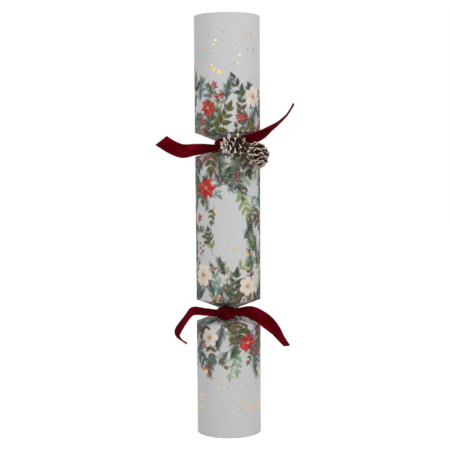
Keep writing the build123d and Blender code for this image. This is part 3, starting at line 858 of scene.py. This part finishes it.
def ribbon_tail(name, neck, stations, slant):
    """Velvet strip through stations (x, y, z, lean, spread), gathered at the knot and cut on a slant at its end."""
    sections = []
    previous = None
    points = [Vector(s[:3]) for s in stations]
    for k, (x, y, z, lean, spread) in enumerate(stations):
        run = points[min(k + 1, len(points) - 1)] - points[max(k - 1, 0)]
        across = Vector((-run.z, 0, run.x)).normalized()
        if (previous is None and across.z < 0) or (previous is not None and across.dot(previous) < 0):
            across = -across
        previous = across
        turn = math.radians(lean)
        way = across * math.cos(turn) + Vector((0, math.sin(turn), 0))
        far = math.hypot(x, y)
        width = W * spread
        if far < R:
            width = min(width, 2 * (groove_half(far) - abs(z) - RIBBON_CLEARANCE) / max(LEAST_RISE, abs(way.z)))
        sections.append((x, y, z, *way.normalized(), width))
    tucked = list(sections[0])
    tucked[0] -= math.copysign(TUCK, points[1].x - points[0].x)
    sections.insert(0, tucked)
    line = curve_through(sections, TAIL_STEPS)
    middle, way, width = line[:, :3], unit(line[:, 3:6]), line[:, 6]
    run = unit(np.gradient(middle, axis=0))
    face = unit(np.cross(run, way))
    length = float(np.linalg.norm(np.diff(middle, axis=0), axis=1).sum())
    share = np.linspace(0, 1, len(line))[:, None]
    b = np.linspace(-1, 1, TAIL_ACROSS)[None, :]
    # The cloth cups a little across its width, more where it is gathered
    cup = (0.5 + 0.9 * (1 - np.minimum(1, width / W)))[:, None] * (b ** 2 - 0.4) * smooth(share, 0.0, 0.15)
    ripple = 0.25 * np.sin(7 * share + 2 * b) * share
    shift = slant * b * smooth(share, 0.86, 1.0)
    thick = RIBBON_THICKNESS / 2 * np.sqrt(np.clip(1 - np.abs(b) ** 6, 0.06, 1))
    centre = (middle[:, None] + way[:, None] * (b * width[:, None] / 2)[..., None]
              + face[:, None] * (cup + ripple)[..., None] + run[:, None] * shift[..., None])
    centre[..., 2] += neck
    # Painted shade darkens the velvet beside the knot, and painted sheen lightens it along both edges and in faint
    # streaks
    away = smooth(share * length, TUCK, TUCK + PAINTED_SHADE_LENGTH)
    painted_sheen = 0.3 * smooth(np.abs(b), 0.6, 1.0) + 0.12 * np.sin(0.32 * share * length + 1.8 * b)
    nap = 0.1 + 0.36 * away + painted_sheen * away
    built = Builder()
    built.strip(slab(centre, face[:, None], thick), nap=np.concatenate([nap, nap[:, ::-1]], 1))
    return built.piece(name, velvet_material), length


def pleated_pillow(size, pleats, depth, turn, power=0.8):
    """Rounded lump of gathered cloth whose pleats run along its length and meet at both ends."""
    u = np.linspace(-math.pi / 2, math.pi / 2, LUMP_ROWS)[:, None]
    v = np.linspace(0, 2 * math.pi, LUMP_COLUMNS, endpoint=False)[None, :]
    long = np.sign(np.sin(u)) * np.abs(np.sin(u)) ** power + 0 * v
    round_share = np.cos(u) ** power
    crease = 1 - depth * np.cos(u) ** 0.5 * (0.5 - 0.5 * np.cos(pleats * v + 1.4 * np.sin(2 * u))) ** 2
    y = size[1] / 2 * round_share * np.cos(v) * crease
    z = size[2] / 2 * round_share * np.sin(v) * crease
    points = np.stack([size[0] / 2 * long, y, z], -1)
    cos, sin = math.cos(turn), math.sin(turn)
    points = points @ np.array([[cos, 0, -sin], [0, 1, 0], [sin, 0, cos]])
    # Painted shade in the creases of the pleats, lighter on their crests
    nap = 0.45 * smooth(crease, 1 - depth, 1.0) + 0 * points[..., 0]
    return points, grid_faces(LUMP_ROWS, LUMP_COLUMNS, wrap=True), nap


def ribbon_knot(name, length, height, side, depth, neck):
    """Knot: a gathered bar across the loop and the crossing turn over it."""
    built = Builder()
    bar = (length, KNOT_DEPTH, height)
    crossing = (1.04 * height, KNOT_DEPTH + 2 * RIBBON_THICKNESS, 1.15 * KNOT_BAND)
    for size, pleats, cut, turn in ((bar, 3, 0.3, 0.12), (crossing, 2, 0.34, math.radians(KNOT_SLANT))):
        points, faces, nap = pleated_pillow(size, pleats, cut, turn)
        built.add(points + np.array([side, depth, neck]), faces, nap=nap)
    return built.piece(name, velvet_material, weld=0.002)


def ribbon_loop(name, neck):
    """Turn of ribbon round the neck, gathered into soft pleats in the bottom of the groove."""
    turn = np.linspace(0, 2 * math.pi, LOOP_COLUMNS, endpoint=False)
    t = np.linspace(0, 1, LOOP_ROWS)[:, None]
    zigzag = 0.5 - 0.5 * np.cos(2 * math.pi * LOOP_PLEATS * t)
    height = 2 * (groove_half(LOOP_INNER) - 0.15)
    wobble = 0.18 * np.sin(5 * turn) + 0.1 * np.sin(11 * turn + 1)
    uneven = 1 + 0.12 * np.sin(3 * turn + 9 * t)
    radius = LOOP_INNER + 0.35 + (LOOP_OUTER - LOOP_INNER - 0.6) * zigzag * uneven
    z = neck + (t - 0.5) * (height - 0.4) + 0.3 * wobble * (1 - np.abs(2 * t - 1))
    built = Builder()
    # Painted shade in the inner folds of the pleats, lighter on the outer folds
    built.add(polar(radius, turn, z), grid_faces(LOOP_ROWS, LOOP_COLUMNS, wrap=True),
              nap=0.1 + 0.3 * zigzag + 0 * turn)
    made = built.piece(name, velvet_material)
    thicken(made, PLEAT_THICKNESS)
    return made


# Rolled papers in the barrel

# Thickness of a ply of paper, depth of its crinkles and distance between two points of the crown
PLY = 0.2
CRINKLE = 0.12
POINT_PITCH = 13.0
# Samples round a turn, round a fold and up the paper
TURN_STEPS = 48
BEND_STEPS = 7
PAPER_ROWS = 22


def rolled_paper(name, material, node, core, layer, pitch, turns, plies, points):
    """Paper folded into plies and rolled up in half turns inside a node's box, its top edge cut into points."""
    low, high = (np.array(corner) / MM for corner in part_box(node))
    last = core + (2 * turns - 1) * pitch / 2 + layer
    place = np.array([high[0] - pitch / 2 - last, low[1] + last, low[2]])
    tall = high[2] - low[2]
    apart = (layer - 2 * PLY) / max(1, plies - 1)

    def facing(half_turns):
        return np.stack([np.cos(math.pi * half_turns), np.sin(math.pi * half_turns)], -1)

    def at(half_turns, out):
        k = np.minimum(np.floor(half_turns), 2 * turns - 1)
        radius = core + k * pitch / 2 + layer / 2 + out
        shift = np.stack([pitch / 2 * (k % 2), 0 * k], -1)
        return shift + radius[:, None] * facing(half_turns)

    line, normals = [], []
    for ply in range(plies):
        out = (ply - (plies - 1) / 2) * apart
        way = 1 if ply % 2 == 0 else -1
        along = np.linspace(0, 2 * turns, TURN_STEPS * turns + 1)[::way]
        line.append(at(along, out))
        normals.append(facing(along))
        if ply < plies - 1:
            # The fold to the next ply
            bend = np.linspace(0, math.pi, BEND_STEPS)[1:-1]
            end = np.full(bend.shape, along[-1])
            onward = way * facing(end + 0.5) * (apart / 2 * np.sin(bend))[:, None]
            line.append(at(end, out + apart / 2 * (1 - np.cos(bend))) + onward)
            normals.append(facing(end))
    line, normals = np.concatenate(line), np.concatenate(normals)
    far = np.concatenate([[0], np.cumsum(np.linalg.norm(np.diff(line, axis=0), axis=1))])
    up = np.linspace(0, 1, PAPER_ROWS)[:, None]
    cut = points * np.abs(2 * np.mod(far / POINT_PITCH, 1) - 1)
    crinkle = CRINKLE * np.sin(1.1 * far + 6 * up + rng.uniform(0, 6)) * np.sin(8.3 * up + 0.41 * far)
    flat = line[None] + normals[None] * crinkle[..., None]
    built = Builder()
    built.add(np.concatenate([flat, (up * (tall - cut))[..., None]], -1) + place, grid_faces(len(up), len(line)))
    made = built.piece(name, material)
    thicken(made, PLY)
    return made, float(far[-1]), tall, float((tall - cut).mean() * far[-1])


# Pine cones

# Length of the flat scales at a cone's base, their height along the cone and their lean
BASAL_REACH = 6.0
BASAL_LEVEL = 0.06
BASAL_LEAN = 88.0
# Place of the lowest scale and span of all of them up the cone, and place of their roots out from its axis, as shares
SCALE_LOWEST = 0.1
SCALE_SPAN = 0.7
SCALE_ROOT = 0.1
# Room left inside the cone's outline, and samples round the core, along a scale and across it
OUTLINE_ROOM = 0.3
CORE_COLUMNS = 14
SCALE_ROWS = 12
SCALE_ACROSS = 9
# Heights up the core and its radii, as shares of the cone's length and radius
CORE_PROFILE = np.array([(0.0, 0.16), (0.35, 0.3), (0.9, 0.14), (0.93, 0.02)])


def pine_cone(name, base, way, x_way, broad, point, closing, reaches, frost, phase, basal, seed):
    """Cone of spiral scales that end on one egg-shaped outline, each cupped, thick at its tip and brushed with white.

    broad and point give the breadth and the sharpness of a scale, closing how far the upper ones fold in, and reaches
    the least and most share of the outline that a scale fills. frost gives, from the place of a scale along the cone,
    where its white begins, its strength and that of its face. phase turns the whole spiral about the cone, and basal
    gives the turns of the flat scales at its base.
    """
    rng = np.random.default_rng(seed)
    girth, middle = CONE_DIAMETER / 2, CONE_LENGTH / 2
    way = Vector(way).normalized()
    x_way = Vector(x_way).normalized()
    to_place = np.array([x_way, way.cross(x_way), way])
    built = Builder()
    levels, widths = CORE_PROFILE.T[..., None]
    turn = np.linspace(0, 2 * math.pi, CORE_COLUMNS, endpoint=False)
    core = polar(girth * widths, turn, levels * CONE_LENGTH)
    nought = np.zeros(core.shape[:2])
    built.add(core @ to_place + base, grid_faces(len(levels), CORE_COLUMNS, wrap=True), along=nought, wash=nought)
    a = np.linspace(0, 1, SCALE_ROWS)[:, None]
    b = np.linspace(-1, 1, SCALE_ACROSS)[None, :]
    across = np.abs(np.concatenate([b, b[:, ::-1]], 1))
    inner = np.concatenate([0 * b + 1, 0 * b], 1)
    scales = []
    for k in range(SCALE_COUNT):
        share = (k + 0.5) / SCALE_COUNT
        lean = SCALE_OPEN_LEAN + (SCALE_CLOSED_LEAN - SCALE_OPEN_LEAN) * share ** closing
        scales.append((phase + k * GOLDEN_ANGLE, share, SCALE_LOWEST + SCALE_SPAN * share, lean))
    scales += [(turn, 0.0, BASAL_LEVEL, BASAL_LEAN) for turn in basal]
    for azimuth, share, level, lean in scales:
        azimuth = math.radians(azimuth + rng.uniform(-4, 4))
        lean = math.radians(lean + rng.uniform(-7, 7))
        start, level = SCALE_ROOT * girth, CONE_LENGTH * level - middle
        if share > 0:
            square = (math.sin(lean) / girth) ** 2 + (math.cos(lean) / middle) ** 2
            mixed = start * math.sin(lean) / girth ** 2 + level * math.cos(lean) / middle ** 2
            rest = (start / girth) ** 2 + (level / middle) ** 2 - 1
            reach = (-mixed + math.sqrt(mixed ** 2 - square * rest)) / square - OUTLINE_ROOM
        else:
            reach = BASAL_REACH
        reach *= rng.uniform(*reaches)
        width = broad * SCALE_WIDTH * (1 - SCALE_NARROWING * share) * rng.uniform(0.85, 1.08)
        out = polar(math.sin(lean), azimuth, math.cos(lean))
        beside = np.array([-math.sin(azimuth), math.cos(azimuth), 0])
        normal = np.cross(out, beside)
        root = polar(start, azimuth, level + middle)
        ragged = 1 + 0.1 * np.sin(11 * a + rng.uniform(0, 6) + 2 * b) * smooth(a, 0.4, 0.8)
        taper = np.clip(1 - smooth(a, 0.62, 1.03) ** point, 0.04, 1) ** 0.6
        half = width * (0.13 + 0.34 * smooth(a, 0.05, 0.72)) * taper * ragged
        skew = rng.uniform(-0.5, 0.5) * b * smooth(a, 0.3, 1.0)
        cup = 0.18 * width * b ** 2 * smooth(a, 0.2, 0.9) - 0.8 * smooth(a, 0.65, 1.0)
        cup = cup + 0.4 * np.sin(math.pi * a) + skew
        swell = (0.17 + 0.24 * smooth(a, 0.5, 0.85)) * np.sqrt(np.clip(1 - 0.8 * b ** 4, 0.1, 1))
        swell = swell * (1 - 0.5 * smooth(a, 0.9, 1.0))
        centre = root + out * (a * reach)[..., None] + beside * (b * half)[..., None] + normal * cup[..., None]
        begins, strength, face = frost(share)
        strength *= rng.uniform(0.65, 1.15)
        wash = strength * smooth(a, begins, begins + 0.16) + 0.7 * strength * across ** 5 * smooth(a, 0.45, 0.8)
        wash = np.clip(wash + face * rng.uniform(0, 1) * inner * smooth(a, 0.35, 0.6), 0, 1)
        built.strip(slab(centre, normal, swell) @ to_place + base, along=a + 0 * across, wash=wash)
    return built.piece(name, cone_material)


def finish_piece(piece, body, slot, *nodes):
    """Fixes a piece to its body, in place of its nodes; the slot is not used."""
    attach(piece, body)
    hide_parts(*nodes)


# Assembly

card_material = printed_card()
velvet_material = velvet()
cone_material = cone_scale()
print_sheet()

finish_piece(end_card("lower_end_card", False), "lower_end", "printed_card", "lower_end_sleeve")
finish_piece(end_card("upper_end_card", True), "upper_end", "printed_card", "upper_end_sleeve")
finish_piece(barrel_card(), "barrel", "printed_card", "barrel_sleeve")

# Side, height of the neck, length, height and length of ribbon of each knot
knots = {
    "upper": (UPPER_KNOT_SIDE, UPPER_NECK, UPPER_KNOT_LENGTH, UPPER_KNOT_HEIGHT, 16.0),
    "lower": (LOWER_KNOT_SIDE, LOWER_NECK, LOWER_KNOT_LENGTH, LOWER_KNOT_HEIGHT, 24.0),
}
upper_reach = UPPER_KNOT_LENGTH / 2 + RIBBON_CLEARANCE
lower_reach = LOWER_KNOT_LENGTH / 2 + RIBBON_CLEARANCE
# Slant of each tail's cut, and its stations: x, y from the knot's middle, z from the neck, lean, share of the width
tails = {
    "upper_ribbon_left_tail": (-1.9, [
        (UPPER_KNOT_SIDE - upper_reach, 0, -0.25 * W, 0, 0.5),
        (-0.72 * R, 0, -0.3 * W, 0, 0.72),
        (-R, 0, -0.37 * W, 0, 0.85),
        (-R - 0.85 * W, 0, -0.46 * W, 0, 1),
        (-R - 1.6 * W, -0.1 * W, -0.19 * W, 0, 1),
        (-R - 2.38 * W, -0.25 * W, 0.3 * W, 0, 1),
    ]),
    "upper_ribbon_right_tail": (0.0, [
        (UPPER_KNOT_SIDE + upper_reach, 0, 0.08 * W, -12, 0.5),
        (0.45 * R, 0, 0.33 * W, -20, 0.58),
        (0.76 * R, 0, 0.44 * W, -32, 0.85),
        (R + 0.1 * W, 0, 0.72 * W, -50, 1),
        (R + 0.65 * W, 0, 1.1 * W, -66, 1),
        (R + 1.3 * W, 0, 1.54 * W, -78, 1),
        (R + 1.9 * W, 0, 2.1 * W, -82, 1),
        (R + 2.36 * W, 0, 2.84 * W, -80, 1),
    ]),
    "lower_ribbon_left_tail": (0.0, [
        (LOWER_KNOT_SIDE - lower_reach, 0, 0.04 * W, 58, 0.8),
        (-0.72 * R, 0, 0.12 * W, 62, 0.92),
        (-R - 0.22 * W, 0, 0.18 * W, 60, 1),
        (-R - 0.72 * W, -0.05 * W, -0.34 * W, 68, 1),
        (-R - 1.36 * W, -0.1 * W, -1.28 * W, 60, 1),
        (-R - 1.3 * W, -0.15 * W, -1.74 * W, 68, 1),
        (-R - 0.7 * W, -0.2 * W, -2.2 * W, 84, 1),
    ]),
    "lower_ribbon_right_tail": (2.2, [
        (LOWER_KNOT_SIDE + lower_reach, 0, 0.08 * W, 0, 0.55),
        (0.66 * R, -0.1 * W, 0.08 * W, 0, 0.9),
        (R + 0.1 * W, -0.2 * W, -0.38 * W, 0, 1),
        (R + 0.96 * W, -0.2 * W, -1.2 * W, 40, 1),
        (R + 1.42 * W, -0.2 * W, -1.86 * W, 62, 1),
        (R + 1.84 * W, -0.2 * W, -2.42 * W, 72, 1),
    ]),
}
for node, (slant, stations) in tails.items():
    end = node.split("_")[0]
    _, neck, _, high, _ = knots[end]
    placed = [(x, knot_depth(high) + y, *others) for x, y, *others in stations]
    tail, length = ribbon_tail(node + "_velvet", neck, placed, slant)
    finish_piece(tail, end + "_end", "velvet", node)
for end, (side, neck, long, high, used) in knots.items():
    knot = ribbon_knot(end + "_ribbon_knot_velvet", long, high, side, knot_depth(high), neck)
    finish_piece(knot, end + "_end", "velvet", end + "_ribbon_knot")
    loop = ribbon_loop(end + "_ribbon_loop_velvet", neck)
    finish_piece(loop, end + "_end", "velvet", end + "_ribbon_loop")

front_cone = pine_cone(
    "front_pine_cone_scales",
    polar(R + FRONT_CONE_OUTSET, math.radians(FRONT_CONE_AZIMUTH), UPPER_NECK - FRONT_CONE_DROP),
    way=(-0.82, -0.57, -0.04), x_way=(0.57, -0.82, 0), broad=0.95, point=0.8, closing=1.0, reaches=(0.92, 1.12),
    frost=lambda share: (0.9 - 0.6 * share, 0.5 + 0.8 * share, 0.2 * share), phase=0, basal=(290, 322), seed=5)
side_cone = pine_cone(
    "side_pine_cone_scales",
    polar(R + SIDE_CONE_OUTSET, math.radians(SIDE_CONE_AZIMUTH), UPPER_NECK - SIDE_CONE_DROP),
    way=(0.1, -0.66, -0.74), x_way=(0, -0.74, 0.66), broad=1.22, point=1.8, closing=0.75, reaches=(0.92, 1.06),
    frost=lambda share: (0.84, 0.85, 0.75), phase=22, basal=(), seed=3)
finish_piece(front_cone, "front_cone", "pine_cone", "front_pine_cone")
finish_piece(side_cone, "side_cone", "pine_cone", "side_pine_cone")

board = fibrous("liner_board", "#cfcbc2", "#b3ada1", 1100, 0.75)
wire_material = wire()
snap_board = fibrous("snap_board", "#d6cdb8", "#bcae92", 1300, 0.75)
plain = {
    "lower_end_tube": board, "upper_end_tube": board, "barrel_tube": board,
    "front_cone_stem": wire_material, "side_cone_stem": wire_material, "cone_tie_wire": wire_material,
    "snap_upper_strip": snap_board, "snap_lower_strip": snap_board,
    "snap_band": fibrous("band_paper", "#e3d9c8", "#cdbfa6", 1500, 0.7),
    "snap_charge": fibrous("snap_dab", "#7a6a5a", "#4d443c", 2600, 0.85, None, 0.5),
    "snap_striker": fibrous("striker_grit", "#6a3f36", "#3c2420", 3200, 0.9, None, 0.7),
    "spinning_top": fibrous("gift_wood", "#c99a62", "#9c6d3c", 240, 0.5, (1, 1, 0.12), 0.2),
}
tissue = fibrous("tissue", "#b8323c", "#94222c", 380, 0.7, (1, 1, 0.15), 0.3)
motto_paper = fibrous("motto_paper", "#eeeae0", "#ddd6c8", 1600, 0.7)
# Node, piece, slot and material of each roll, and its sizes: core, layer, pitch, turns, plies and depth of the points
rolls = [
    ("paper_crown", "paper_crown_tissue", "tissue", tissue, (3.0, 2.2, 2.7, 2, 3, 7.0)),
    ("motto_slip", "motto_slip_paper", "motto_paper", motto_paper, (2.4, 0.8, 1.2, 1, 1, 0.0)),
]
for node, name, slot, material, sizes in rolls:
    roll, long, wide, area = rolled_paper(name, material, node, *sizes)
    finish_piece(roll, "lower_end", slot, node)
for node, material in plain.items():
    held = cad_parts[node]
    held.data.materials.clear()
    held.data.materials.append(material)

# Camera, floor and light

# Focal length, size and principal point of the picture in pixels, and place, pitch and roll of the camera
FOCAL_PIXELS = 1023.0
IMAGE = 450.0
SENSOR = 36.0
PRINCIPAL = (228.4, 277.1)
CAMERA_PLACE = (0.0, -0.754, 0.2015)
PITCH = 6.47
ROLL = -0.365
# Light of the surroundings on the part, and tone of the floor, its own light and its size
AMBIENT = 0.73
FLOOR_GREY = 0.6
FLOOR_GLOW = 0.59
FLOOR_SIZE = 5

lens = bpy.data.cameras.new("camera")
lens.sensor_width = SENSOR
lens.lens = FOCAL_PIXELS / IMAGE * SENSOR
lens.shift_x = -(PRINCIPAL[0] - IMAGE / 2) / IMAGE
lens.shift_y = (PRINCIPAL[1] - IMAGE / 2) / IMAGE
camera = bpy.data.objects.new("camera", lens)
turn = Matrix.Rotation(math.radians(90 - PITCH), 4, "X") @ Matrix.Rotation(math.radians(ROLL), 4, "Z")
camera.matrix_world = Matrix.Translation(CAMERA_PLACE) @ turn
scene = bpy.context.scene
scene.collection.objects.link(camera)
scene.camera = camera
scene.view_settings.view_transform = "Standard"

air = Nodes("studio", bpy.data.worlds)
air.set(Color=(1, 1, 1, 1), Strength=air.spread(air.seen(), 0, 1, AMBIENT, 1.0))
scene.world = air.owner

bpy.ops.mesh.primitive_plane_add(size=FLOOR_SIZE, location=(0, 0, 0))
floor = bpy.context.object
floor.name = "floor"
floor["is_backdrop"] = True
ground = Nodes("floor")
ground.tree.nodes.clear()
diffuse = ground.add("BsdfDiffuse", {"Color": (FLOOR_GREY, FLOOR_GREY, FLOOR_GREY, 1)})
lift = ground.add("Math", {0: ground.seen(), 1: FLOOR_GLOW}, operation="MULTIPLY")
glow = ground.add("Emission", {"Strength": lift.outputs[0]})
both = ground.add("AddShader", {0: diffuse.outputs[0], 1: glow.outputs[0]})
ground.add("OutputMaterial", {"Surface": both.outputs[0]})
floor.data.materials.append(ground.owner)


def softbox(name, place, aim, wide, tall, power):
    """Rectangular lamp, in metres and watts."""
    lamp = bpy.data.lights.new(name, "AREA")
    lamp.shape = "RECTANGLE"
    lamp.size = wide
    lamp.size_y = tall
    lamp.energy = power
    made = bpy.data.objects.new(name, lamp)
    made.location = place
    made.rotation_mode = "QUATERNION"
    made.rotation_quaternion = (Vector(aim) - Vector(place)).to_track_quat("-Z", "Y")
    scene.collection.objects.link(made)


softbox("key", (0.6, -0.9, 1.15), (0, 0, 0.24), 0.8, 0.8, 5.2)
softbox("fill", (-0.8, -1.1, 0.7), (0, 0, 0.2), 0.8, 0.8, 1.9)
softbox("right_strip", (0.8, -0.75, 0.3), (0, 0, 0.3), 0.2, 0.4, 0.75)
softbox("left_strip", (-0.64, -0.9, 0.3), (0, 0, 0.3), 0.1, 0.4, 0.38)

low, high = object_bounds()
{"cad": [list(p) for p in cad_box], "visual": [list(low), list(high)]}
